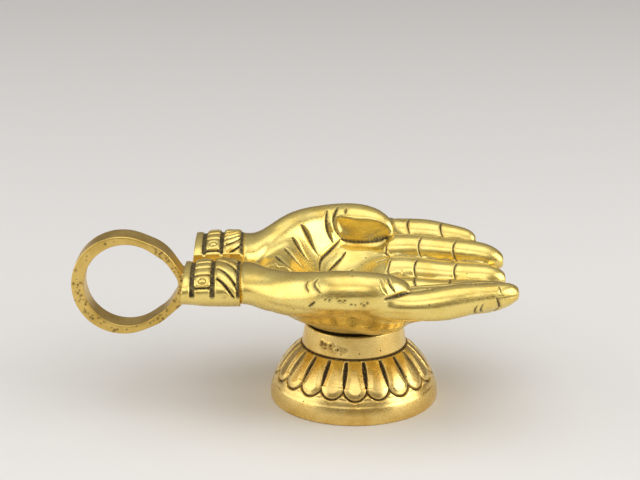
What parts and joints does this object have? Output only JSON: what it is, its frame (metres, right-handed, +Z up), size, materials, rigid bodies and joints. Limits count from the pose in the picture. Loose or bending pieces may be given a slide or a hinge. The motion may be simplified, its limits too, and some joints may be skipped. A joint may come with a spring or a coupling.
{
  "type": "aarti lamp",
  "caption": "Cast brass aarti lamp: cupped hands make an oil bowl on a round lotus pedestal, with engraved wrist cuffs and a finger ring handle behind the wrists.",
  "frame": {"origin": "on the table, at the axis of the pedestal", "axes": "+X out along the fingers, -Y the side of the right hand, +Z up"},
  "size_m": [0.1651, 0.0987, 0.0649],
  "materials": {
    "cast_brass": "polished casting with dark patina in the cuts",
    "engraved_brass": "polished casting, engraved, dark patina in the grooves",
    "ring_brass": "satin casting with small pits",
    "pedestal_brass": "polished casting with dark patina between the petals",
    "turned_brass": "as turned"
  },
  "bodies": {
    "pedestal": {"lotus_pedestal": "pedestal_brass"},
    "hands": {"right_hand": "cast_brass", "left_hand": "cast_brass", "right_cuff": "engraved_brass", "left_cuff": "engraved_brass", "ring_handle": "ring_brass", "flanged_stud": "turned_brass"},
    "washer": {"washer": "turned_brass"},
    "nut": {"nut": "turned_brass"}
  },
  "joints": [
    {"name": "hands_swivel", "type": "hinge", "parent": "pedestal", "child": "hands", "pos_m": [0, 0, 0.026], "axis": [0, 0, 1], "continuous": true},
    {"name": "washer_drop", "type": "slide", "parent": "hands", "child": "washer", "axis": [0, 0, -1], "range_m": [0, 0.00625]},
    {"name": "nut_unscrew", "type": "hinge", "parent": "washer", "child": "nut", "pos_m": [0, 0, 0.015], "axis": [0, 0, -1], "range_deg": [0, 1800]}
  ],
  "couplings": [
    {"joint": "washer_drop", "follows": "nut_unscrew", "m_per_rad": 0.00019894}
  ]
}
